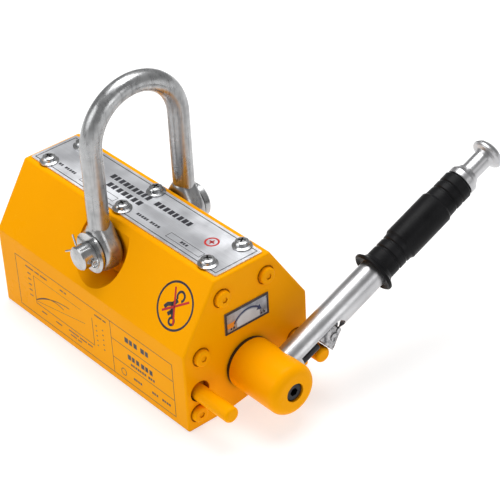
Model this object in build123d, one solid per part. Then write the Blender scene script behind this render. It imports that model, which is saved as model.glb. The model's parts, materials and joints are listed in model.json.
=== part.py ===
from build123d import *
from math import atan2, cos, degrees, radians, sin
import os

# Permanent lifting magnet with a switching handle and a lifting shackle.
# Millimetres. +Z is up, X runs along the housing, the handle is at the +X end.
# The origin is the centre of the underside, midway between the two pole faces.

# ---------------------------------------------------------------- housing
LENGTH = 232.0
WIDTH = 117.0
HEIGHT = 119.5
SIDE_HEIGHT = 68.5
TOP_WIDTH = 52.0
EDGE_ROUND = 2.2
COVER_THICK = 6.0
GASKET_THICK = 0.8
GROOVE_HALF = 28.0
GROOVE_DEPTH = 4.3
BASE_SPACER_HALF = 5.0
TOP_SPACER_HALF = 9.0
STATOR_LOW = 64.5
STATOR_HIGH = 86.0
STATOR_BLOCKS = 6

COVER_IN = LENGTH / 2 - COVER_THICK
BLOCK_END = COVER_IN - GASKET_THICK

# ---------------------------------------------------------------- rotor
SHAFT_Z = 35.3
ROTOR_R = 27.0
ROTOR_BORE_R = 27.5
ROTOR_END = 98.0
FLANGE_THICK = 8.0
ROTOR_MAGNET_HALF = 9.0
ROTOR_BLOCKS = 6
SHAFT_R = 9.0
SHAFT_END = 150.0
KEY_MID = 125.0
KEY_SIZE = (5.0, 4.5, 9.0)
KEY_OUT = 8.75
RUN = 0.05
BUSH_R = 13.0
CARRIER_R = 27.4
CARRIER_END = 99.2
BUSH_FLANGE_R = 16.0

# ---------------------------------------------------------------- hub and handle
HUB_R = 20.5
HUB_ROUND = 7.0
HUB_START = 118.8
HUB_END = 168.0
SEAL_R = 20.4
SEAL_THICK = 2.5
COVER_HOLE_R = 10.0
HUB_SCREW_WELL_R = 7.6
HUB_SCREW_R = 7.2
HUB_SCREW_WELL = 9.0
HANDLE_X = 142.6
HANDLE_ANGLE = 22.8
TUBE_R = 11.2
TUBE_BORE_R = 8.2
TUBE_GRIP_R = 9.7
TUBE_START = 10.5
TUBE_END = 208.0
GRIP_START = 110.4
GRIP_LENGTH = 97.2
GRIP_R = 12.4
GRIP_MID_R = 13.8
GRIP_GUARD_R = 17.5
SLOT_IN = 28.0
SLOT_OUT = 70.0
SLOT_WIDTH = 8.0
OPENING_IN = 23.0
OPENING_OUT = 60.0
OPENING_MID = 3.7
OPENING_R = 7.0
TIE_ROD_R = 3.2
TIE_ROD_AT = (5.2, 5.2)
TIE_ROD_END = 41.0
TIE_STUD_R = 4.0

# ---------------------------------------------------------------- stop pins
PIN_Y = 45.8
PIN_Z = {-1: 30.8, 1: 33.2}
PIN_R = 6.3
PIN_TIP = {-1: 152.5, 1: 148.2}
PIN_ROOT = 92.0
PIN_HOLE_R = 8.6
PIN_HOLE_Z = 32.4

# ---------------------------------------------------------------- latch and button
LATCH_THICK = 6.0
LATCH_FACE = 8.5
PIVOT_R = 60.0
PIVOT_N = 7.0
PIVOT_PIN_R = 2.0
RELEASE_ANGLE = 26.8
LINK_N = -3.5
LINK_R = 62.5
LINK_PIN_R = 1.5
ROD_R = 4.0
ROD_HEAD_R = 8.1
ROD_HEAD = (74.0, 78.0)
GUIDE = (84.0, 92.0)
SPRING_SEAT = (122.0, 125.0)
SPRING_R = 5.8
SPRING_WIRE_R = 0.8
SPRING_TURNS = 8
NECK_R = 7.5
NECK_START = 190.0
NECK_END = 234.0
KNOB_R = 13.0
KNOB_TIP = 246.0

# ---------------------------------------------------------------- shackle
BOLT_Z = 98.5
BOLT_R = 9.5
BOLT_TIP = 13.6
COTTER_OUT = 6.6
COTTER_TURN = 5.0
WASHER_R = 16.2
WASHER_THICK = 2.0
EYE_R = 17.5
EYE_IN = 30.4
EYE_OUT = 48.8
EYE_NECK = 14.0
EYE_NECK_R = 9.8
EYE_ROUND = 6.0
BAR_R = 8.3
BOW_Y = 40.2
BOW_Z = 181.5
WELL_R = 27.0
WELL_FLOOR = 29.8

# ---------------------------------------------------------------- plates and screws
PLATE_LENGTH = 225.0
PLATE_WIDTH = 43.8
PLATE_THICK = 1.0
PLATE_SCREW_X = (-96.0, -3.0, 97.0)
PLATE_SCREW_Y = 16.0
PLATE_SCREW_R = 2.0
PLATE_FLANGE_R = 7.6
PLATE_HEAD_R = 5.6
DIAL_WIDTH = 41.0
DIAL_HEIGHT = 18.6
DIAL_Y = 1.0
DIAL_Z = 77.8
DIAL_THICK = 0.8
COVER_BOLTS = ((-20.6, 102.5), (20.6, 102.5), (-42.8, 61.8), (-48.4, 13.8), (48.4, 13.8))
COVER_BOLT_R = 3.0
COVER_HEAD_R = 6.5
COVER_HEAD = 5.0
COVER_SINK = 1.2
COVER_SINK_R = 7.7

# Along the shaft: local Z is world +X, local X is world +Y, local Y is world +Z.
SHAFT = Plane(origin=(0, 0, SHAFT_Z), x_dir=(0, 1, 0), z_dir=(1, 0, 0)).location
# Along the handle: local Z runs out along the tube and local Y is the latch side.
TILT = radians(HANDLE_ANGLE)
HANDLE = Plane(origin=(HANDLE_X, 0, SHAFT_Z), x_dir=(1, 0, 0), z_dir=(0, cos(TILT), sin(TILT))).location
# Along the shackle pin: local Z is world +Y.
BOLT = Plane(origin=(0, 0, BOLT_Z), x_dir=(1, 0, 0), z_dir=(0, 1, 0)).location


def rod(radius, start, end, at=(0, 0)):
    """A round bar along local Z from start to end."""
    centred = (Align.CENTER, Align.CENTER, Align.MIN)
    return Pos(at[0], at[1], start) * Cylinder(radius, end - start, align=centred)


def ring(outer, inner, start, end, at=(0, 0)):
    """A plain ring along local Z."""
    return rod(outer, start, end, at) - rod(inner, start - 1, end + 1, at)


def block(low, high):
    """A box from its lowest to its highest corner."""
    size = [b - a for a, b in zip(low, high)]
    middle = [(a + b) / 2 for a, b in zip(low, high)]
    return Pos(*middle) * Box(*size)


def outline(points, rounding=0.0):
    """A closed face on the YZ plane through (y, z) points, with its corners rounded."""
    face = make_face(Polyline([(y, z) for y, z in points], close=True))
    return fillet(face.vertices(), rounding) if rounding else face


def prism(points, start, end, rounding=0.0):
    """The YZ outline carried along X from start to end."""
    plane = Plane(origin=(start, 0, 0), x_dir=(0, 1, 0), z_dir=(1, 0, 0))
    return extrude(plane * outline(points, rounding), end - start, dir=(1, 0, 0))


def turned(points):
    """A solid of revolution about local Z through (radius, height) points."""
    face = make_face(Plane.XZ * Polyline(points, close=True))
    return revolve(face, Axis.Z)


def along_x(radius, start, end, y, z):
    """A round bar parallel to X."""
    return SHAFT * rod(radius, start, end, (y, z - SHAFT_Z))


def hexagon():
    half, top = WIDTH / 2, TOP_WIDTH / 2
    return [(-half, 0), (half, 0), (half, SIDE_HEIGHT), (top, HEIGHT), (-top, HEIGHT), (-half, SIDE_HEIGHT)]


def groove():
    return prism([(-GROOVE_HALF, 0), (0, GROOVE_DEPTH), (GROOVE_HALF, 0), (0, -5)], -LENGTH, LENGTH)


def rotor_bore():
    return SHAFT * rod(ROTOR_BORE_R, -LENGTH, LENGTH)


def shackle_wells():
    wells = rod(WELL_R, WELL_FLOOR, WIDTH) + rod(WELL_R, -WIDTH, -WELL_FLOOR)
    return BOLT * (wells + rod(BOLT_R + 0.1, -WIDTH, WIDTH))


def screw_holes():
    """Tapped holes in the pole blocks for the cover bolts and the name plate."""
    holes = []
    for y, z in COVER_BOLTS:
        holes.append(along_x(COVER_BOLT_R, -LENGTH, 16 - BLOCK_END, y, z))
        holes.append(along_x(COVER_BOLT_R, BLOCK_END - 16, LENGTH, y, z))
    for x in PLATE_SCREW_X:
        for side in (-1, 1):
            holes.append(Pos(x, side * PLATE_SCREW_Y, 0) * rod(PLATE_SCREW_R, HEIGHT - 9, HEIGHT + 5))
    return holes


def pole_block(side):
    """One steel pole of the housing: half of the section, cut by the rotor bore."""
    solid = prism(hexagon(), -BLOCK_END, BLOCK_END, EDGE_ROUND)
    low = STATOR_LOW - 15
    keep_low = block((-LENGTH, BASE_SPACER_HALF, -1), (LENGTH, WIDTH, low))
    keep_high = block((-LENGTH, TOP_SPACER_HALF, low), (LENGTH, WIDTH, HEIGHT + 1))
    keep = keep_low + keep_high
    solid &= keep if side > 0 else mirror(keep, Plane.XZ)
    solid -= groove()
    solid -= rotor_bore()
    solid -= shackle_wells()
    solid -= [along_x(PIN_R, PIN_ROOT, LENGTH, side * PIN_Y, PIN_Z[side])] + screw_holes()
    return solid


def base_spacer():
    """Non-magnetic strip that closes the gap between the poles under the rotor."""
    strip = block((-BLOCK_END, -BASE_SPACER_HALF, 0), (BLOCK_END, BASE_SPACER_HALF, SHAFT_Z))
    return strip - groove() - rotor_bore()


def top_spacer():
    """Non-magnetic bar between the poles above the fixed magnets."""
    bar = block((-BLOCK_END, -TOP_SPACER_HALF, STATOR_HIGH), (BLOCK_END, TOP_SPACER_HALF, HEIGHT))
    return bar - BOLT * rod(BOLT_R + 0.1, -WIDTH, WIDTH)


def magnet_row(count, end, low, high, half):
    """Equal magnet blocks side by side along X, one solid each."""
    pitch = 2 * end / count
    blocks = []
    for i in range(count):
        start = -end + i * pitch
        blocks.append(block((start + 0.3, -half, low), (start + pitch - 0.3, half, high)))
    return Compound(children=blocks)


def stator_magnets():
    """Fixed magnet blocks between the poles, over the rotor."""
    return magnet_row(STATOR_BLOCKS, BLOCK_END, STATOR_LOW, STATOR_HIGH, TOP_SPACER_HALF)


def end_cover(side):
    """Painted end plate. The handle side has holes for the shaft and the stop pins."""
    cover = prism(hexagon(), COVER_IN, LENGTH / 2, EDGE_ROUND)
    cover = fillet(cover.faces().sort_by(Axis.X)[-1].edges(), EDGE_ROUND - 0.4)
    cuts = [groove()]
    for y, z in COVER_BOLTS:
        cuts.append(along_x(COVER_BOLT_R + 0.2, 0, LENGTH, y, z))
        cuts.append(along_x(COVER_SINK_R, LENGTH / 2 - COVER_SINK, LENGTH, y, z))
    if side > 0:
        cuts.append(SHAFT * rod(COVER_HOLE_R, 0, LENGTH))
        for y in (-PIN_Y, PIN_Y):
            cuts.append(along_x(PIN_HOLE_R, 0, LENGTH, y, PIN_HOLE_Z))
    cover -= cuts
    return cover if side > 0 else mirror(cover, Plane.YZ)


def gasket(side):
    sheet = prism(hexagon(), BLOCK_END, COVER_IN, EDGE_ROUND)
    cuts = [groove(), SHAFT * rod(CARRIER_R, 0, LENGTH)]
    for y, z in COVER_BOLTS:
        cuts.append(along_x(COVER_BOLT_R + 0.2, 0, LENGTH, y, z))
    for y in (-PIN_Y, PIN_Y):
        cuts.append(along_x(PIN_HOLE_R, 0, LENGTH, y, PIN_HOLE_Z))
    sheet -= cuts
    return sheet if side > 0 else mirror(sheet, Plane.YZ)


def cover_bolts(side):
    """Domed socket screws of one end cover."""
    face = LENGTH / 2 - COVER_SINK
    bolts = []
    for y, z in COVER_BOLTS:
        head = rod(COVER_HEAD_R, 0, COVER_HEAD)
        head = fillet(head.edges().sort_by(Axis.Z)[-1], 1.6)
        socket = extrude(RegularPolygon(2.6, 6), 2.0)
        head -= Pos(0, 0, COVER_HEAD - 0.9) * socket
        bolt = Pos(0, 0, face) * head + rod(COVER_BOLT_R, BLOCK_END - 14, face)
        placed = SHAFT * Pos(y, z - SHAFT_Z, 0) * bolt
        bolts.append(placed if side > 0 else mirror(placed, Plane.YZ))
    return Compound(children=bolts)


def bearing_carrier(side):
    """Steel disc that fits the housing bore and holds the bronze bush."""
    disc = ring(CARRIER_R, BUSH_R, CARRIER_END, BLOCK_END)
    disc = SHAFT * disc
    return disc if side > 0 else mirror(disc, Plane.YZ)


def bush(side):
    """Flanged bronze bush with a thrust face towards the rotor."""
    sleeve = ring(BUSH_R, SHAFT_R + RUN, CARRIER_END, BLOCK_END)
    flange = ring(BUSH_FLANGE_R, SHAFT_R + RUN, CARRIER_END - 1.0, CARRIER_END)
    whole = SHAFT * (sleeve + flange)
    return whole if side > 0 else mirror(whole, Plane.YZ)


def shaft_seal():
    """Rubber ring on the face of the cover, round the shaft and behind the hub."""
    face = LENGTH / 2
    return SHAFT * ring(SEAL_R, SHAFT_R + 0.4, face, face + SEAL_THICK)


def stop_pins():
    """Two dowels, pressed into the poles, that stop the handle at either end of its turn."""
    pins = []
    for side, z in PIN_Z.items():
        pin = rod(PIN_R, PIN_ROOT, PIN_TIP[side])
        pin = fillet(pin.edges().sort_by(Axis.Z)[-1], 2.4)
        pins.append(SHAFT * Pos(side * PIN_Y, z - SHAFT_Z, 0) * pin)
    return Compound(children=pins)


def name_plate():
    half, edge = PLATE_LENGTH / 2, PLATE_WIDTH / 2
    plate = block((-half, -edge, HEIGHT), (half, edge, HEIGHT + PLATE_THICK))
    plate = fillet(plate.edges().filter_by(Axis.Z), 1.5)
    places = [(x, side * PLATE_SCREW_Y) for x in PLATE_SCREW_X for side in (-1, 1)]
    holes = [rod(PLATE_SCREW_R, 0, 200, at) for at in places]
    return plate - holes


def name_plate_screws():
    """Cross-recessed screws with a flange, along both edges of the name plate."""
    seat = HEIGHT + PLATE_THICK
    head = turned([(0, 0), (PLATE_FLANGE_R, 0), (PLATE_FLANGE_R, 0.9), (PLATE_HEAD_R, 1.8),
                   (PLATE_HEAD_R, 3.7), (PLATE_HEAD_R - 0.7, 4.6), (PLATE_HEAD_R - 2.0, 5.2), (0, 5.5)])
    head -= Pos(0, 0, 5.0) * (Box(6.0, 1.4, 2.8) + Box(1.4, 6.0, 2.8))
    screw = Pos(0, 0, seat) * head + rod(PLATE_SCREW_R, HEIGHT - 8, seat)
    turns = {x: 17 * i for i, x in enumerate(PLATE_SCREW_X)}
    spots = [(x, s) for x in PLATE_SCREW_X for s in (-1, 1)]
    placed = [Pos(x, s * PLATE_SCREW_Y, 0) * Rot(0, 0, turns[x] * s) * screw for x, s in spots]
    return Compound(children=placed)


def direction_plate():
    face, half = LENGTH / 2, DIAL_WIDTH / 2
    low = (face, DIAL_Y - half, DIAL_Z - DIAL_HEIGHT / 2)
    return block(low, (face + DIAL_THICK, DIAL_Y + half, DIAL_Z + DIAL_HEIGHT / 2))


def shackle_eye():
    """Forged eye: a round boss with short shoulders towards the bar, rounded all over."""
    boss = Circle(EYE_R).edges()
    neck = (Pos(0, -EYE_NECK) * Circle(EYE_NECK_R)).edges()
    eye = extrude(Pos(0, 0, EYE_IN) * make_hull(boss + neck), EYE_OUT - EYE_IN)
    rims = [e for e in eye.edges() if e.geom_type != GeomType.LINE or abs((e @ 0).Z - (e @ 1).Z) < 1e-6]
    return BOLT * fillet(rims, EYE_ROUND)


def shackle_bow():
    """Bent round bar with a forged eye at each end, standing up."""
    foot = BOLT_Z + EYE_R - 3
    path = Line((0, -BOW_Y, foot), (0, -BOW_Y, BOW_Z))
    path += ThreePointArc((0, -BOW_Y, BOW_Z), (0, 0, BOW_Z + BOW_Y), (0, BOW_Y, BOW_Z))
    path += Line((0, BOW_Y, BOW_Z), (0, BOW_Y, foot))
    bow = sweep(Plane(origin=(0, -BOW_Y, foot), z_dir=(0, 0, 1)) * Circle(BAR_R), path=path)
    eye = shackle_eye()
    return bow + eye + mirror(eye, Plane.XZ) - BOLT * rod(BOLT_R + RUN, -WIDTH, WIDTH)


def shackle_pin():
    """Headed clevis pin through both poles and both shackle eyes, cross-drilled for the cotter."""
    end, head, seat = -EYE_OUT - BOLT_TIP, EYE_OUT + 6.0, EYE_OUT + 0.1
    pin = turned([(0, end), (BOLT_R - 0.8, end), (BOLT_R, end + 0.8), (BOLT_R, seat), (14.0, seat),
                  (14.0, head - 1.5), (12.5, head), (0, head)])
    return BOLT * (pin - cotter_place() * rod(1.75, -30, 30))


def cotter_place():
    """Along the cotter pin, whose eye is at the +X side, a little off level."""
    return Pos(0, 0, -EYE_OUT - COTTER_OUT) * Rot(0, 0, COTTER_TURN) * Rot(0, 90, 0)


def washer():
    return BOLT * ring(WASHER_R, BOLT_R + 0.1, -EYE_OUT - 0.1 - WASHER_THICK, -EYE_OUT - 0.1)


def cotter_pin():
    """Split pin: a wire eye, a round shank and two tails bent apart."""
    shank = rod(1.5, -10.6, 10.4)
    eye = Pos(0, 0, 13.0) * Rot(90, 0, 0) * Torus(2.9, 0.95)
    pin = shank + eye
    for side in (-1, 1):
        pin += Pos(side * 0.7, 0, -10.4) * Rot(0, 180 - side * 34, 0) * rod(0.75, -0.4, 11.0)
    return BOLT * cotter_place() * Rot(0, 0, 60) * pin


def rotor_pole(side):
    """Steel segment of the rotor drum on one side of its magnets."""
    drum = rod(ROTOR_R, FLANGE_THICK - ROTOR_END, ROTOR_END - FLANGE_THICK)
    flat = block((-ROTOR_R, ROTOR_MAGNET_HALF, -ROTOR_END), (ROTOR_R, ROTOR_R, ROTOR_END))
    segment = drum & (flat if side > 0 else mirror(flat, Plane.XZ))
    return SHAFT * Rot(0, 0, 90) * segment


def rotor_magnets():
    """Magnet blocks across the drum, between the two rotor poles."""
    end, half = ROTOR_END - FLANGE_THICK, ROTOR_R - 5.0
    return magnet_row(ROTOR_BLOCKS, end, SHAFT_Z - half, SHAFT_Z + half, ROTOR_MAGNET_HALF)


def flange_holes(radius, start, end):
    return [rod(radius, start, end, (18 * cos(a), 18 * sin(a))) for a in (0, radians(180))]


def rotor_shaft():
    """Drive-end flange of the rotor with the long shaft that carries the hub."""
    start = ROTOR_END - FLANGE_THICK
    shaft = rod(ROTOR_R, start, ROTOR_END) + rod(SHAFT_R, ROTOR_END, SHAFT_END)
    shaft -= [rod(4.0, SHAFT_END - 20, SHAFT_END + 1), Pos(0, KEY_OUT, KEY_MID) * Box(*KEY_SIZE)]
    return SHAFT * (shaft - flange_holes(2.5, 0, LENGTH))


def rotor_stub():
    """Far-end flange of the rotor with its short journal."""
    start = ROTOR_END - FLANGE_THICK
    stub = rod(ROTOR_R, start, ROTOR_END) + rod(SHAFT_R, ROTOR_END, BLOCK_END - 1)
    return mirror(SHAFT * (stub - flange_holes(2.5, 0, LENGTH)), Plane.YZ)


def rotor_screws():
    """Countersunk-length studs that clamp each flange to the rotor poles."""
    studs = []
    for spot in ((18.0, 0), (-18.0, 0)):
        stud = rod(2.5, ROTOR_END - FLANGE_THICK, ROTOR_END, spot)
        studs += [SHAFT * stud, mirror(SHAFT * stud, Plane.YZ)]
    return Compound(children=studs)


def shaft_key():
    return SHAFT * Pos(0, KEY_OUT, KEY_MID) * Box(*KEY_SIZE)


def handle_hub():
    """Painted boss on the end of the shaft, bored across for the handle tube."""
    hub = rod(HUB_R, HUB_START, HUB_END)
    hub = fillet(hub.edges().sort_by(Axis.Z)[-1], HUB_ROUND)
    hub -= rod(HUB_SCREW_WELL_R, HUB_END - HUB_SCREW_WELL, HUB_END + 1)
    hub -= rod(4.2, 0, LENGTH)
    hub -= rod(SHAFT_R, 0, SHAFT_END)
    hub -= Pos(0, KEY_OUT, KEY_MID) * Box(*KEY_SIZE)
    return SHAFT * hub - HANDLE * rod(TUBE_R, TUBE_START, TUBE_END)


def hub_screw():
    seat = HUB_END - HUB_SCREW_WELL
    screw = rod(HUB_SCREW_R, seat, seat + 7.6) + rod(4.0, SHAFT_END - 18, seat)
    screw = fillet(screw.edges().sort_by(Axis.Z)[-1], 0.8)
    return SHAFT * (screw - Pos(0, 0, seat + 3.6) * extrude(RegularPolygon(3.5, 6), 5))


def handle_tube():
    """Plated tube with a stepped-down grip end, the latch slot below and an opening on its outer side."""
    shoulder = GRIP_START + 3
    tube = rod(TUBE_R, TUBE_START, shoulder) + rod(TUBE_GRIP_R, shoulder, TUBE_END)
    half = SLOT_WIDTH / 2
    slot = block((-half, 0, SLOT_IN + half), (half, TUBE_R + 1, SLOT_OUT - half))
    for z in (SLOT_IN + half, SLOT_OUT - half):
        slot += Pos(0, 0, z) * Rot(-90, 0, 0) * rod(half, 0, TUBE_R + 1)
    tube -= rod(TUBE_BORE_R, TUBE_START + 3, TUBE_END + 1)
    opening = block((0, OPENING_MID - OPENING_R, OPENING_IN), (TUBE_R + 1, TUBE_R + 1, OPENING_OUT))
    opening += Pos(0, OPENING_MID, OPENING_OUT) * Rot(0, 90, 0) * rod(OPENING_R, 0, TUBE_R + 1)
    tube -= slot + opening
    return HANDLE * (tube - pivot_pin_bar())


def pivot_pin_bar():
    return Pos(0, PIVOT_N, PIVOT_R) * Rot(0, 90, 0) * rod(PIVOT_PIN_R, -8.0, LATCH_FACE + 0.8)


def tie_rod():
    """Blackened rod that lies in the tube's opening, cranked onto a stud in the tube's root."""
    start = OPENING_IN + 0.1
    outline = Circle(TIE_STUD_R).edges() + (Pos(*TIE_ROD_AT) * Circle(TIE_ROD_R)).edges()
    crank = extrude(Pos(0, 0, start) * make_hull(outline), TIE_ROD_R)
    bar = rod(TIE_ROD_R, start, TIE_ROD_END, TIE_ROD_AT)
    bar = fillet(bar.edges().filter_by(GeomType.CIRCLE).sort_by(Axis.Z)[-1], 1.0)
    return HANDLE * (rod(TIE_STUD_R, TUBE_START + 3, start + 1) + crank + bar)


def latch_pivot_pin():
    return HANDLE * pivot_pin_bar()


def ring_groove(height):
    """Half-round groove in the grip's outline, as (radius, height) points."""
    floor = GRIP_R - 0.9
    return [(GRIP_R, height - 1.3), (floor, height - 0.5), (floor, height + 0.5), (GRIP_R, height + 1.3)]


def grip():
    """Moulded sleeve: flared guard, ringed ends and a thicker middle."""
    z, end = GRIP_START, GRIP_START + GRIP_LENGTH
    profile = [(TUBE_R, z), (13.5, z), (GRIP_GUARD_R - 1.2, z - 1.6), (GRIP_GUARD_R, z - 0.6),
               (GRIP_GUARD_R, z + 0.8), (GRIP_R + 1.6, z + 3.4), (GRIP_R, z + 6.0)]
    profile += ring_groove(z + 15.8) + ring_groove(z + 23.6)
    profile += [(GRIP_R + 0.3, z + 28.4), (GRIP_MID_R, z + 30.2)]
    profile += [(GRIP_MID_R, z + 70.2), (GRIP_R + 0.3, z + 72.0)]
    profile += ring_groove(z + 80.2) + ring_groove(z + 87.4)
    profile += [(GRIP_R, end - 2.0), (GRIP_R - 1.6, end), (TUBE_GRIP_R, end), (TUBE_GRIP_R, z + 3)]
    profile += [(TUBE_R, z + 3)]
    return HANDLE * turned(profile)


def end_collar():
    """Plated plug in the tube's end that guides the button's neck."""
    end, bore = TUBE_END, NECK_R + RUN
    profile = [(bore, end - 12), (TUBE_BORE_R, end - 12), (TUBE_BORE_R, end), (11.4, end), (11.8, end + 0.6),
               (11.8, end + 4.6), (11.2, end + 5.6), (9.4, end + 8.0), (8.7, end + 9.8), (bore, end + 9.8)]
    return HANDLE * turned(profile)


def rod_guide():
    return HANDLE * ring(TUBE_BORE_R, ROD_R + RUN, *GUIDE)


def push_rod():
    """Rod inside the tube, with a guided head and a fork that straddles the latch tail."""
    bar = rod(ROD_R, ROD_HEAD[1], NECK_START + 30) + rod(ROD_HEAD_R, *ROD_HEAD)
    for side in (-1, 1):
        low, high = sorted((side * 3.2, side * 5.5))
        bar += block((low, LINK_N - 2.2, LINK_R - 2.6), (high, LINK_N + 2.2, ROD_HEAD[0]))
    return HANDLE * (bar - link_pin_bar())


def link_pin_bar():
    return Pos(0, LINK_N, LINK_R) * Rot(0, 90, 0) * rod(LINK_PIN_R, -5.5, 5.5)


def link_pin():
    return HANDLE * link_pin_bar()


def spring_seat():
    return HANDLE * ring(7.6, ROD_R, *SPRING_SEAT)


def button_spring():
    """Compression spring between the fixed guide and the seat on the rod."""
    start, end = GUIDE[1] + SPRING_WIRE_R, SPRING_SEAT[0] - SPRING_WIRE_R
    height = end - start
    helix = Helix(pitch=height / SPRING_TURNS, height=height, radius=SPRING_R)
    section = Plane(origin=helix @ 0, z_dir=helix % 0) * Circle(SPRING_WIRE_R)
    return HANDLE * Pos(0, 0, start) * sweep(section, path=helix)


def knob():
    """Mushroom button on a long neck, screwed onto the push rod."""
    cap = NECK_END
    profile = [(ROD_R, NECK_START), (NECK_R, NECK_START), (NECK_R, cap), (8.8, cap + 2.4), (12.0, cap + 3.4),
               (KNOB_R, cap + 4.6), (KNOB_R, cap + 6.0), (11.4, cap + 8.6), (8.0, KNOB_TIP - 1.4),
               (4.0, KNOB_TIP - 0.3), (0, KNOB_TIP), (0, NECK_START + 30), (ROD_R, NECK_START + 30)]
    return HANDLE * turned(profile)


def latch_plate(points, low, high):
    """A plate across the tube's slot through (along, out) points."""
    plane = Plane(origin=(low, 0, 0), x_dir=(0, 1, 0), z_dir=(1, 0, 0))
    face = make_face(plane * Polyline([(out, along) for along, out in points], close=True))
    return extrude(face, high - low, dir=(1, 0, 0))


def latch_bar(radius, along, out, low=-LATCH_THICK / 2, high=LATCH_THICK / 2):
    return Pos(0, out, along) * Rot(0, 90, 0) * rod(radius, low, high)


def release(angle):
    """Where a fixed thing lies, seen from the latch, when the latch has opened by the angle."""
    pivot = Pos(0, PIVOT_N, PIVOT_R)
    return pivot * Rot(-angle, 0, 0) * pivot.inverse()


def latch_hook():
    """Cast pawl on a pivot: its nose rests beside the stop pin and the rod drives its tail."""
    rise = PIN_Z[1] - SHAFT_Z
    pin_along = PIN_Y * cos(TILT) + rise * sin(TILT)
    pin_out = PIN_Y * sin(TILT) - rise * cos(TILT)
    half = LATCH_THICK / 2
    nose = [(43.2, 0.4), (59.2, 0.2), (60.4, 5.4), (61.6, 9.8), (56.2, 13.8), (50.6, 18.2), (48.2, 19.0),
            (46.2, 12.6)]
    body = latch_plate(nose, -half, LATCH_FACE)
    body = fillet(body.faces().sort_by(Axis.X)[-1].edges(), 0.9)
    lean = degrees(atan2(LINK_R - PIVOT_R, PIVOT_N - LINK_N))
    tail = Pos(0, PIVOT_N, PIVOT_R) * Rot(90 - lean, 0, 0)
    body += tail * block((-half, -3.3, 0), (half, 3.3, 10.8))
    body += latch_bar(3.3, LINK_R, LINK_N) + latch_bar(4.6, PIVOT_R, PIVOT_N)
    body += latch_bar(3.4, 54.4, 9.0, half, LATCH_FACE + 0.7)
    pin = latch_bar(PIN_R + 0.6, pin_along, pin_out, -half - 1, LATCH_FACE + 1)
    body -= [release(step * RELEASE_ANGLE / 6) * pin for step in range(7)]
    body -= latch_bar(PIVOT_PIN_R + RUN, PIVOT_R, PIVOT_N, -half - 1, LATCH_FACE + 1)
    body -= tail * block((-4, -1.6, 8.8), (4, 1.6, 12.6))
    body -= latch_bar(LINK_PIN_R + 0.1, LINK_R, LINK_N)
    return HANDLE * body


PARTS = {
    "pole_block_front": lambda: pole_block(-1),
    "pole_block_rear": lambda: pole_block(1),
    "base_spacer": base_spacer,
    "top_spacer": top_spacer,
    "stator_magnets": stator_magnets,
    "end_cover_drive": lambda: end_cover(1),
    "end_cover_plain": lambda: end_cover(-1),
    "gasket_drive": lambda: gasket(1),
    "gasket_plain": lambda: gasket(-1),
    "cover_bolts_drive": lambda: cover_bolts(1),
    "cover_bolts_plain": lambda: cover_bolts(-1),
    "bearing_carrier_drive": lambda: bearing_carrier(1),
    "bearing_carrier_plain": lambda: bearing_carrier(-1),
    "bush_drive": lambda: bush(1),
    "bush_plain": lambda: bush(-1),
    "shaft_seal": shaft_seal,
    "stop_pins": stop_pins,
    "name_plate": name_plate,
    "name_plate_screws": name_plate_screws,
    "direction_plate": direction_plate,
    "shackle_pin": shackle_pin,
    "shackle_washer": washer,
    "cotter_pin": cotter_pin,
    "shackle_bow": shackle_bow,
    "rotor_pole_north": lambda: rotor_pole(1),
    "rotor_pole_south": lambda: rotor_pole(-1),
    "rotor_magnets": rotor_magnets,
    "rotor_shaft": rotor_shaft,
    "rotor_stub": rotor_stub,
    "rotor_screws": rotor_screws,
    "shaft_key": shaft_key,
    "handle_hub": handle_hub,
    "hub_screw": hub_screw,
    "handle_tube": handle_tube,
    "grip": grip,
    "end_collar": end_collar,
    "rod_guide": rod_guide,
    "tie_rod": tie_rod,
    "latch_pivot_pin": latch_pivot_pin,
    "push_rod": push_rod,
    "link_pin": link_pin,
    "spring_seat": spring_seat,
    "button_spring": button_spring,
    "knob": knob,
    "latch_hook": latch_hook,
}

os.makedirs("parts", exist_ok=True)
for name, make in PARTS.items():
    export_step(make(), f"parts/{name}.step")
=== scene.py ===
import bpy
import bmesh
import json
from math import cos, pi, radians, sin
from mathutils import Matrix, Vector


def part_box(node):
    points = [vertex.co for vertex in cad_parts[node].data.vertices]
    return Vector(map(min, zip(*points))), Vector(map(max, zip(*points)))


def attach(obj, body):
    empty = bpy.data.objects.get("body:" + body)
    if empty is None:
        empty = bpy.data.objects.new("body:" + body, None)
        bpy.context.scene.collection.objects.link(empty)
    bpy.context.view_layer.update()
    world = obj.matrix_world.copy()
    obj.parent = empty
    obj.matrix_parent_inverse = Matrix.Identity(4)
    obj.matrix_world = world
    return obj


# Permanent lifting magnet. Metres, in the CAD frame: X along the housing, the handle at +X.

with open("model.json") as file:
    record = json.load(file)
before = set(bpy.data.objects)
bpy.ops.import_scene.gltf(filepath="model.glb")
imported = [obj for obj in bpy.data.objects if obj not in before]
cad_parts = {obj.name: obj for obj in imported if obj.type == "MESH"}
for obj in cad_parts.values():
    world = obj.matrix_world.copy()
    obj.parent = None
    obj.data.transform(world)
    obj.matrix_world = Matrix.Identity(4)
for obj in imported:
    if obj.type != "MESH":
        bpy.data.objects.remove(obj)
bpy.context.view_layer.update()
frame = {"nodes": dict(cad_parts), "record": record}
NODES = frame["nodes"]
MM = 0.001
INK_RISE = 0.05 * MM
INK_SINK = 0.03 * MM
RING_STEPS = 64


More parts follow.
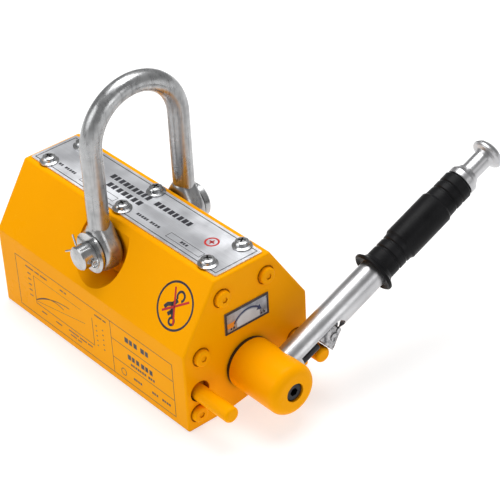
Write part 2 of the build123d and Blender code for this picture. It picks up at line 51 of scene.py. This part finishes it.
# ---------------------------------------------------------------- materials
class Shader:
    """A Principled material with short ways to add the usual procedural nodes."""

    def __init__(self, name, **sockets):
        self.material = bpy.data.materials.new(name)
        self.material.use_nodes = True
        self.tree = self.material.node_tree
        self.bsdf = self.tree.nodes["Principled BSDF"]
        for socket, value in sockets.items():
            self.bsdf.inputs[socket.replace("_", " ")].default_value = value
        self.place = self.add("ShaderNodeTexCoord").outputs["Object"]

    def add(self, kind, **settings):
        node = self.tree.nodes.new(kind)
        for key, value in settings.items():
            setattr(node, key, value)
        return node

    def put(self, node, socket, value):
        """Sets a socket to a value, or links an output to it."""
        if isinstance(value, bpy.types.NodeSocket):
            self.tree.links.new(value, node.inputs[socket])
        else:
            node.inputs[socket].default_value = value

    def stretched(self, along):
        """Object coordinates scaled by (x, y, z), to draw streaks across the larger numbers."""
        mapping = self.add("ShaderNodeMapping")
        self.put(mapping, "Vector", self.place)
        mapping.inputs["Scale"].default_value = along
        return mapping.outputs["Vector"]

    def noise(self, scale, detail=3.0, roughness=0.5, along=None):
        node = self.add("ShaderNodeTexNoise")
        self.put(node, "Vector", self.stretched(along) if along else self.place)
        self.put(node, "Scale", scale)
        self.put(node, "Detail", detail)
        self.put(node, "Roughness", roughness)
        return node.outputs["Fac"]

    def cells(self, scale):
        node = self.add("ShaderNodeTexVoronoi")
        self.put(node, "Vector", self.place)
        self.put(node, "Scale", scale)
        return node.outputs["Distance"]

    def between(self, factor, low, high, start=0.3, end=0.7):
        """Maps factor from start..end to low..high, held at the ends."""
        node = self.add("ShaderNodeMapRange")
        self.put(node, "Value", factor)
        self.put(node, "From Min", start)
        self.put(node, "From Max", end)
        self.put(node, "To Min", low)
        self.put(node, "To Max", high)
        return node.outputs["Result"]

    def mix(self, factor, a, b):
        node = self.add("ShaderNodeMix", data_type="RGBA")
        self.put(node, 0, factor)
        self.put(node, 6, a)
        self.put(node, 7, b)
        return node.outputs[2]

    def product(self, a, b):
        node = self.add("ShaderNodeMath", operation="MULTIPLY")
        self.put(node, 0, a)
        self.put(node, 1, b)
        return node.outputs[0]

    def cavity(self, distance):
        """1 in the open and towards 0 in corners and gaps."""
        node = self.add("ShaderNodeAmbientOcclusion", samples=4)
        self.put(node, "Distance", distance)
        return node.outputs["AO"]

    def bump(self, height, distance, strength=1.0, below=None):
        node = self.add("ShaderNodeBump")
        self.put(node, "Height", height)
        self.put(node, "Distance", distance)
        self.put(node, "Strength", strength)
        if below:
            self.put(node, "Normal", below)
        return node.outputs["Normal"]

    def finish(self, color, roughness, normal):
        self.put(self.bsdf, "Base Color", color)
        self.put(self.bsdf, "Roughness", roughness)
        self.put(self.bsdf, "Normal", normal)
        return self.material


def rgb(r, g, b):
    return (r, g, b, 1.0)


def paint():
    """Thick enamel over machined steel: faint orange peel, soft waves and painted shade in the corners."""
    s = Shader("enamel", Specular_IOR_Level=0.03)
    tone = s.mix(s.between(s.noise(9, 2), 0, 1), rgb(0.92, 0.36, 0.0), rgb(0.98, 0.395, 0.0))
    # Painted shade: an occlusion mask darkens the enamel to brown orange in corners and gaps.
    tone = s.mix(s.between(s.cavity(4 * MM), 1, 0, 0.25, 0.8), tone, rgb(0.50, 0.17, 0.0))
    specks = s.between(s.noise(420, 1), 0, 0.35, 0.70, 0.74)
    tone = s.mix(specks, tone, rgb(0.98, 0.45, 0.01))
    waves = s.bump(s.noise(55, 2), 0.12 * MM, 0.5)
    peel = s.bump(s.noise(380, 2), 0.03 * MM, 0.45, waves)
    return s.finish(tone, s.between(s.noise(30, 4), 0.26, 0.40), peel)


def galvanised():
    """Hot-dip zinc on a forging: mottled grey crystals, dark streaks along Z and small lumps."""
    s = Shader("galvanised_zinc", Metallic=0.92, Specular_IOR_Level=0.5)
    mottle = s.between(s.noise(60, 5, 0.65), 0, 1, 0.35, 0.65)
    tone = s.mix(mottle, rgb(0.30, 0.305, 0.31), rgb(0.44, 0.445, 0.45))
    tone = s.mix(s.between(s.cells(170), 0, 0.3, 0.1, 0.6), tone, rgb(0.56, 0.565, 0.57))
    streak = s.noise(1.0, 4, 0.6, (520, 520, 26))
    tone = s.mix(s.between(streak, 0, 0.55, 0.52, 0.70), tone, rgb(0.15, 0.15, 0.155))
    # Painted shade: an occlusion mask darkens the zinc to near black in corners and gaps.
    tone = s.mix(s.between(s.cavity(5 * MM), 0.8, 0, 0.2, 0.8), tone, rgb(0.10, 0.10, 0.10))
    lumps = s.bump(s.noise(120, 3), 0.25 * MM, 0.55)
    grain = s.bump(s.noise(900, 2), 0.04 * MM, 0.5, lumps)
    return s.finish(tone, s.between(s.noise(85, 4), 0.20, 0.40), grain)


def chrome():
    """Bright plate with fine handling scratches and a few dull patches."""
    s = Shader("bright_plate", Metallic=1.0)
    tone = s.mix(s.between(s.noise(40, 3), 0, 1), rgb(0.44, 0.44, 0.45), rgb(0.60, 0.60, 0.61))
    # Painted shade: an occlusion mask darkens the plate in corners and gaps.
    tone = s.mix(s.between(s.cavity(3 * MM), 0.7, 0, 0.2, 0.8), tone, rgb(0.10, 0.10, 0.10))
    scratch = s.noise(1.0, 2, 0.5, (160, 1500, 1500))
    scuffs = s.bump(s.between(scratch, 0, 1, 0.45, 0.75), 0.015 * MM, 0.5)
    return s.finish(tone, s.between(s.noise(70, 5, 0.7), 0.30, 0.42, 0.35, 0.75), scuffs)


def rubber():
    """Moulded charcoal rubber with a satin skin."""
    s = Shader("moulded_rubber", Specular_IOR_Level=0.07)
    tone = s.mix(s.between(s.noise(45, 4), 0, 1), rgb(0.006, 0.006, 0.0065), rgb(0.013, 0.013, 0.014))
    dust = s.product(s.between(s.noise(700, 3, 0.7), 0, 0.5, 0.60, 0.78), s.between(s.noise(25, 2), 0.2, 1))
    tone = s.mix(dust, tone, rgb(0.045, 0.045, 0.048))
    skin = s.bump(s.noise(1400, 2), 0.05 * MM, 0.5)
    dents = s.bump(s.noise(90, 2), 0.2 * MM, 0.3, skin)
    return s.finish(tone, s.between(s.noise(60, 4), 0.30, 0.46), dents)


def aluminium():
    """Brushed sheet, with the brushing along X."""
    s = Shader("brushed_aluminium", Metallic=0.85, Anisotropic=0.4)
    tone = s.mix(s.between(s.noise(25, 3), 0, 1), rgb(0.70, 0.71, 0.74), rgb(0.84, 0.85, 0.88))
    brushing = s.noise(1.0, 3, 0.6, (18, 3200, 3200))
    tone = s.mix(s.between(brushing, 0, 0.4, 0.45, 0.65), tone, rgb(0.58, 0.59, 0.62))
    lines = s.bump(brushing, 0.012 * MM, 0.6)
    dents = s.bump(s.noise(60, 3), 0.35 * MM, 0.35, lines)
    return s.finish(tone, s.between(s.noise(50, 3), 0.30, 0.44), dents)


def machined(name, dark, light, rough=(0.25, 0.45), metallic=1.0, scale=70.0):
    """Turned or plated metal: tool lines, tonal patches and painted shade in the corners."""
    s = Shader(name, Metallic=metallic)
    tone = s.mix(s.between(s.noise(scale, 4), 0, 1), rgb(*dark), rgb(*light))
    # Painted shade: an occlusion mask darkens the metal to a fifth of its dark tone in corners and gaps.
    tone = s.mix(s.between(s.cavity(2.5 * MM), 0.8, 0, 0.2, 0.8), tone, rgb(*[c * 0.2 for c in dark]))
    lines = s.bump(s.noise(1.0, 2, 0.5, (1500, 240, 240)), 0.02 * MM, 0.5)
    pits = s.bump(s.noise(500, 3), 0.05 * MM, 0.4, lines)
    return s.finish(tone, s.between(s.noise(scale * 1.6, 4), *rough), pits)


def cast():
    """Sand-textured plated casting."""
    s = Shader("plated_casting", Metallic=0.9)
    mottle = s.between(s.noise(260, 4, 0.7), 0, 1, 0.36, 0.60)
    tone = s.mix(mottle, rgb(0.10, 0.10, 0.105), rgb(0.52, 0.52, 0.53))
    # Painted shade: an occlusion mask darkens the casting to near black in corners and gaps.
    tone = s.mix(s.between(s.cavity(3 * MM), 0.85, 0, 0.2, 0.8), tone, rgb(0.05, 0.05, 0.05))
    sand = s.bump(s.noise(420, 4, 0.7), 0.35 * MM, 0.9)
    return s.finish(tone, s.between(s.noise(200, 3), 0.30, 0.52), sand)


def dull(name, dark, light, rough=(0.5, 0.7), scale=90.0):
    """Unplated or printed surface with a fine grain."""
    s = Shader(name, Specular_IOR_Level=0.4)
    tone = s.mix(s.between(s.noise(scale, 4), 0, 1), rgb(*dark), rgb(*light))
    return s.finish(tone, s.between(s.noise(scale * 2, 3), *rough), s.bump(s.noise(900, 3), 0.04 * MM, 0.5))


SLOTS = {
    "paint": paint(),
    "galvanised": galvanised(),
    "chrome": chrome(),
    "rubber": rubber(),
    "plate": aluminium(),
    "cast_latch": cast(),
    "zinc": machined("bright_zinc", (0.36, 0.365, 0.37), (0.60, 0.605, 0.61), (0.16, 0.34)),
    "steel": machined("turned_steel", (0.34, 0.34, 0.35), (0.56, 0.56, 0.57)),
    "stainless": machined("milled_stainless", (0.46, 0.46, 0.46), (0.64, 0.64, 0.64)),
    "magnet": machined("nickel_magnet", (0.46, 0.46, 0.48), (0.62, 0.62, 0.64), (0.18, 0.32)),
    "brass": machined("milled_brass", (0.50, 0.36, 0.14), (0.74, 0.56, 0.26)),
    "bronze": machined("sintered_bronze", (0.34, 0.20, 0.09), (0.52, 0.34, 0.17), (0.35, 0.55)),
    "black_steel": machined("black_oxide", (0.010, 0.010, 0.012), (0.030, 0.030, 0.034), (0.30, 0.50), 0.6),
    "gasket": dull("fibre_gasket", (0.05, 0.04, 0.03), (0.12, 0.10, 0.08)),
    "seal": dull("nitrile_seal", (0.008, 0.008, 0.008), (0.02, 0.02, 0.02), (0.40, 0.55)),
}
DIAL_FACE = machined("dial_face", (0.20, 0.22, 0.26), (0.46, 0.48, 0.52), (0.25, 0.5), 0.7, 130.0)
INK = dull("brown_ink", (0.05, 0.022, 0.006), (0.09, 0.04, 0.012), (0.35, 0.5))
BLACK_INK = dull("black_ink", (0.012, 0.012, 0.016), (0.035, 0.035, 0.045), (0.35, 0.5))
RED_INK = dull("red_ink", (0.42, 0.008, 0.010), (0.56, 0.016, 0.014), (0.35, 0.5))
BLUE_INK = dull("blue_ink", (0.010, 0.022, 0.075), (0.02, 0.04, 0.12), (0.35, 0.5))
PALE_INK = dull("pale_ink", (0.50, 0.52, 0.55), (0.66, 0.68, 0.70), (0.35, 0.5))
ORANGE_INK = dull("orange_ink", (0.75, 0.22, 0.01), (0.88, 0.30, 0.02), (0.35, 0.5))

for part in frame["record"]["subparts"]:
    node = NODES[part["node"]]
    node.data.materials.clear()
    node.data.materials.append(SLOTS[part["material_slot"]])
PAINTED_OVER = ("gasket_drive", "gasket_plain")
for name in PAINTED_OVER:
    NODES[name].material_slots[0].material = SLOTS["paint"]
NODES["direction_plate"].material_slots[0].material = DIAL_FACE


# ---------------------------------------------------------------- flat printing
def circle_points(centre, radius, turns):
    return [(centre[0] + radius * cos(t), centre[1] + radius * sin(t)) for t in turns]


class Print:
    """Ink on a flat face. Shapes are drawn in millimetres along two directions from a centre."""

    def __init__(self, centre, right, up):
        self.centre = Vector(centre)
        self.right = Vector(right).normalized()
        self.up = Vector(up).normalized()
        self.normal = self.right.cross(self.up)
        self.faces = []

    def fill(self, points):
        self.faces.append([tuple(p) for p in points])
        return self

    def line(self, points, width, closed=False):
        """A ribbon of the given width along the points, mitred at its bends."""
        count = len(points)
        rails = []
        for i, p in enumerate(points):
            before = points[i - 1] if closed or i else p
            after = points[(i + 1) % count] if closed or i < count - 1 else p
            into, out = Vector(p) - Vector(before), Vector(after) - Vector(p)
            into = into.normalized() if into.length else out.normalized()
            out = out.normalized() if out.length else into
            way = (into + out).normalized()
            side = Vector((-way.y, way.x)) * (width / 2 / max(way.dot(out), 0.3))
            rails.append((Vector(p) + side, Vector(p) - side))
        for i in range(count if closed else count - 1):
            a, b = rails[i], rails[(i + 1) % count]
            self.faces.append([a[1], b[1], b[0], a[0]])
        return self

    def box(self, low, high, width):
        corners = [(low[0], low[1]), (high[0], low[1]), (high[0], high[1]), (low[0], high[1])]
        return self.line(corners, width, True)

    def bar(self, x, y, length, height):
        return self.fill([(x, y), (x + length, y), (x + length, y + height), (x, y + height)])

    def bars(self, x, y, height, lengths, gap):
        """A row of plain bars where a line of print would be."""
        for length in lengths:
            self.bar(x, y, length, height)
            x += length + gap
        return self

    def word(self, x, y, height, count, pitch):
        """Plain blocks, one for each letter that a printed word would have."""
        for i in range(count):
            self.bar(x + pitch * i, y, pitch * (0.78, 0.66, 0.72)[i % 3], height)
        return self

    def arc(self, centre, radius, start, end, width):
        steps = max(6, int(abs(end - start) / 6))
        turns = [radians(start + (end - start) * i / steps) for i in range(steps + 1)]
        return self.line(circle_points(centre, radius, turns), width)

    def ring(self, centre, radius, width):
        turns = [2 * pi * i / RING_STEPS for i in range(RING_STEPS)]
        return self.line(circle_points(centre, radius, turns), width, True)

    def make(self, name, material, body="housing"):
        """One mesh of thin raised shapes, riding on the body."""
        bm = bmesh.new()
        for outline in self.faces:
            rims = []
            for height in (-INK_SINK, INK_RISE):
                base = self.centre + self.normal * height
                spots = [base + (self.right * u + self.up * v) * MM for u, v in outline]
                rims.append([bm.verts.new(p) for p in spots])
            low, high = rims
            bm.faces.new(high)
            bm.faces.new(low[::-1])
            for i in range(len(outline)):
                j = (i + 1) % len(outline)
                bm.faces.new((low[i], low[j], high[j], high[i]))
        bmesh.ops.recalc_face_normals(bm, faces=bm.faces)
        mesh = bpy.data.meshes.new(name)
        bm.to_mesh(mesh)
        bm.free()
        obj = bpy.data.objects.new(name, mesh)
        bpy.context.scene.collection.objects.link(obj)
        mesh.materials.append(material)
        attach(obj, body)
        return obj


BODY_LOW, BODY_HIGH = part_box("pole_block_front")
PLATE_LOW, PLATE_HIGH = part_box("name_plate")
DIAL_LOW, DIAL_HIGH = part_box("direction_plate")
SIDE_Z = 68.5
TOP_HALF = 26.0
SIDE_HALF = 58.5
BODY_HEIGHT = 119.5
EAST, UP = (1, 0, 0), (0, 0, 1)
SLOPE = Vector((0, SIDE_HALF - TOP_HALF, BODY_HEIGHT - SIDE_Z)).normalized()


def side_table():
    """Printed table on the front face: a plain chart on the left and three ruled rows on the right."""
    table = Print((0, BODY_LOW.y, 0), EAST, UP)
    left, split, right, low, high = -95.0, 27.5, 101.5, 7.0, 55.0
    thin = 0.55
    table.box((left, low), (right, high), thin)
    table.line([(split, low), (split, high)], thin)
    rows = [low + (high - low) * share for share in (0.315, 0.68)]
    for y in rows:
        table.line([(split, y), (right, y)], thin)
    chart_x, chart_y, chart_right = -72.0, 19.0, 4.0
    table.line([(chart_x, 45), (chart_x, chart_y), (chart_right, chart_y), (chart_right, 45)], thin)
    table.line([(chart_x, 45), (chart_right - 14, 45)], 0.3)
    for drop, reach in ((0.0, 46.0), (5.0, 38.0)):
        shares = [i / 14 for i in range(15)]
        rise = [3 + 15 * (1 - (1 - t) ** 2) - drop * t * t for t in shares]
        table.line([(chart_x + reach * t, chart_y + up) for t, up in zip(shares, rise)], 0.7)
    table.line([(chart_x, chart_y + 2), (chart_right - 10, chart_y + 15)], 0.3)
    for i in range(5):
        table.bar(chart_x - 8, chart_y + 4 + 5.2 * i, 4.2, 1.0)
        table.bar(chart_right + 4, chart_y + 2 + 4.6 * i, 1.6, 1.0)
        table.bar(chart_right + 12, chart_y + 2 + 4.6 * i, 1.6, 1.0)
    for x, lengths, gap in ((-82, (11, 6, 9), 1.4), (-36, (4, 3), 1.2), (8, (9, 4), 1.2)):
        table.bars(x, 49.5, 1.2, lengths, gap)
    below = ((-66, 13.6, (7, 8), 12), (-30, 14.8, (13, 9, 6), 1.4), (-28, 11.4, (8, 5), 1.4))
    for x, y, lengths, gap in below:
        table.bars(x, y, 1.1, lengths, gap)
    table.make("side_table", INK)
    bold = Print((0, BODY_LOW.y, 0), EAST, UP)
    for x, count in ((45, 3), (64, 2)):
        bold.word(x, rows[1] + 5.4, 4.6, count, 5.4)
    for x, count in ((47, 3), (63, 3)):
        bold.word(x, rows[0] + 8.0, 4.4, count, 5.0)
    for x, count in ((50, 7), (71, 3)):
        bold.word(x, rows[0] + 3.0, 2.2, count, 2.7)
    bold.ring((40, low + 7.0), 3.0, 0.6)
    for x, count in ((52, 4), (74, 3), (86, 4)):
        bold.word(x, low + 6.0, 2.0, count, 2.6)
    bold.make("side_table_marks", BLACK_INK)


def crossed_ring():
    """A round sign on the sloped face: a ring round an abstract bent shape, crossed out."""
    rise = 29.4
    foot = Vector((90.0, -SIDE_HALF, SIDE_Z))
    centre = (foot + SLOPE * rise) * MM
    ring = Print(centre, EAST, SLOPE)
    ring.ring((0, 0), 17.6, 1.7)
    ring.arc((2.2, 8.2), 3.6, -60, 230, 1.9)
    ring.line([(0.6, 4.8), (-2.4, 0.6), (-1.0, -4.4), (2.2, -8.0)], 3.4)
    ring.line([(-2.4, 0.6), (-7.2, -1.6), (-9.6, -5.0)], 3.0)
    ring.line([(-1.0, -4.4), (-4.0, -8.2)], 3.0)
    ring.ring((2.0, -11.2), 2.6, 1.9)
    ring.make("crossed_ring", BLACK_INK)
    cross = Print(centre + SLOPE.cross(Vector((1, 0, 0))) * -0.02 * MM, EAST, SLOPE)
    cross.line([(-6.0, 12.5), (5.0, -13.0)], 1.7)
    cross.line([(11.5, 8.0), (-10.5, -8.0)], 1.7)
    cross.make("crossed_ring_bars", RED_INK)


def plate_printing():
    """Border, ruled fields and plain blocks on the name plate, and a small red ring."""
    centre = Vector(((PLATE_LOW.x + PLATE_HIGH.x) / 2, 0, PLATE_HIGH.z))
    half, edge = (PLATE_HIGH.x - PLATE_LOW.x) / 2 / MM, PLATE_HIGH.y / MM
    ink = Print(centre, EAST, (0, 1, 0))
    ink.box((-half + 3, -edge + 2.6), (half - 3, edge - 2.6), 0.7)
    title, small = 5.2, 2.4
    for x, y, count, pitch in ((-45, 3.8, 9, 5.4), (9, 3.8, 8, 5.4), (-38, -5.2, 7, 6.0)):
        ink.word(x, y, title, count, pitch)
    for x, count in ((-88, 2), (-80, 5), (10, 5), (26, 4)):
        ink.word(x, -13.4, small, count, 2.8)
    ink.word(62, -13.8, small, 3, 2.8)
    ink.box((-58, -15.4), (-16, -10.0), 0.4)
    ink.box((48, -15.6), (86, -9.8), 0.4)
    ink.make("name_plate_print", BLACK_INK)
    red = Print(centre, EAST, (0, 1, 0))
    red.ring((78, 3.4), 5.0, 1.5)
    red.line([(75.4, 3.4), (80.6, 3.4)], 1.3)
    red.line([(78, 0.8), (78, 6.0)], 1.3)
    red.make("name_plate_ring", RED_INK)


def dial_printing():
    """Direction plate: a curved arrow over a pale window, an orange corner and a dark border."""
    centre = Vector((DIAL_HIGH.x, (DIAL_LOW.y + DIAL_HIGH.y) / 2, (DIAL_LOW.z + DIAL_HIGH.z) / 2))
    half, edge = (DIAL_HIGH.y - DIAL_LOW.y) / 2 / MM, (DIAL_HIGH.z - DIAL_LOW.z) / 2 / MM
    border = Print(centre, (0, 1, 0), UP)
    border.box((-half + 0.9, -edge + 0.9), (half - 0.9, edge - 0.9), 1.8)
    for x in (-16, 12.6):
        border.bars(x, -6.6, 1.8, (1.6, 1.6), 1.0)
    border.make("direction_plate_border", BLACK_INK)
    arrow = Print(centre, (0, 1, 0), UP)
    pivot, sweep = (1.0, -11.0), 15.6
    arrow.arc(pivot, sweep, 148, 52, 1.5)
    tip = Vector(circle_points(pivot, sweep, [radians(44)])[0])
    arrow.fill([(tip.x + 1.6, tip.y - 1.9), (tip.x - 0.4, tip.y + 3.2), (tip.x - 3.6, tip.y - 0.8)])
    arrow.make("direction_arrow", BLUE_INK)
    window = Print(centre, (0, 1, 0), UP)
    turns = [radians(t) for t in range(40, 141, 10)]
    rim = circle_points(pivot, 14.0, turns)
    window.fill(rim + [(rim[-1][0], -edge + 2.4), (rim[0][0], -edge + 2.4)])
    window.make("direction_plate_window", PALE_INK)
    patch = Print(centre, (0, 1, 0), UP)
    corners = [(1.6, 4.6), (7.4, 4.6), (9.6, 9.4), (1.6, 9.0)]
    patch.fill([(x - half, y - edge) for x, y in corners])
    patch.make("direction_plate_patch", ORANGE_INK)


side_table()
crossed_ring()
plate_printing()
dial_printing()


# ---------------------------------------------------------------- studio
def floor():
    mesh = bpy.data.meshes.new("studio_floor")
    size = 6.0
    corners = [(-size, -size, 0), (size, -size, 0), (size, size, 0), (-size, size, 0)]
    mesh.from_pydata(corners, [], [(0, 1, 2, 3)])
    obj = bpy.data.objects.new("studio_floor", mesh)
    bpy.context.scene.collection.objects.link(obj)
    pale = dull("pale_floor", (0.48, 0.48, 0.48), (0.50, 0.50, 0.50), (0.8, 0.9), 2.0)
    glow = pale.node_tree.nodes["Principled BSDF"].inputs
    glow["Emission Color"].default_value = (1, 1, 1, 1)
    glow["Emission Strength"].default_value = 0.62
    mesh.materials.append(pale)


def softbox(name, place, target, size, power):
    light = bpy.data.lights.new(name, "AREA")
    light.shape = "RECTANGLE"
    light.size, light.size_y = size
    light.energy = power
    obj = bpy.data.objects.new(name, light)
    obj.location = place
    obj.rotation_euler = (Vector(target) - Vector(place)).to_track_quat("-Z", "Y").to_euler()
    bpy.context.scene.collection.objects.link(obj)


def camera():
    """Stands to the right of the front corner, 35 degrees up, with a long lens."""
    azimuth, elevation, roll = radians(51.32), radians(34.61), radians(-3.28)
    target, distance = Vector((0.0414, 0.0674, 0.0643)), 1.4791
    back = Vector((sin(azimuth) * cos(elevation), -cos(azimuth) * cos(elevation), sin(elevation)))
    level = Vector((cos(azimuth), sin(azimuth), 0))
    above = back.cross(level)
    right = level * cos(roll) + above * sin(roll)
    up = above * cos(roll) - level * sin(roll)
    data = bpy.data.cameras.new("camera")
    data.lens = 138.9
    data.sensor_width = 36.0
    obj = bpy.data.objects.new("camera", data)
    place = target + back * distance
    obj.matrix_world = Matrix((
        (right.x, up.x, back.x, place.x),
        (right.y, up.y, back.y, place.y),
        (right.z, up.z, back.z, place.z),
        (0, 0, 0, 1)))
    bpy.context.scene.collection.objects.link(obj)
    bpy.context.scene.camera = obj


def studio():
    """A bright white sweep: one large overhead box, a front box and a weaker one at the handle end."""
    world = bpy.data.worlds.new("studio")
    world.use_nodes = True
    sky = world.node_tree.nodes["Background"]
    sky.inputs["Color"].default_value = (1, 1, 1, 1)
    sky.inputs["Strength"].default_value = 0.31
    bpy.context.scene.world = world
    bpy.context.scene.view_settings.view_transform = "Standard"
    middle = (0.02, 0.03, 0.08)
    softbox("overhead", (-0.25, 0.35, 1.7), middle, (1.3, 1.1), 26)
    softbox("front", (-0.55, -1.5, 1.1), middle, (1.2, 1.0), 9.5)
    softbox("handle_end", (1.7, 0.1, 0.7), middle, (0.8, 0.8), 4)


floor()
studio()
camera()
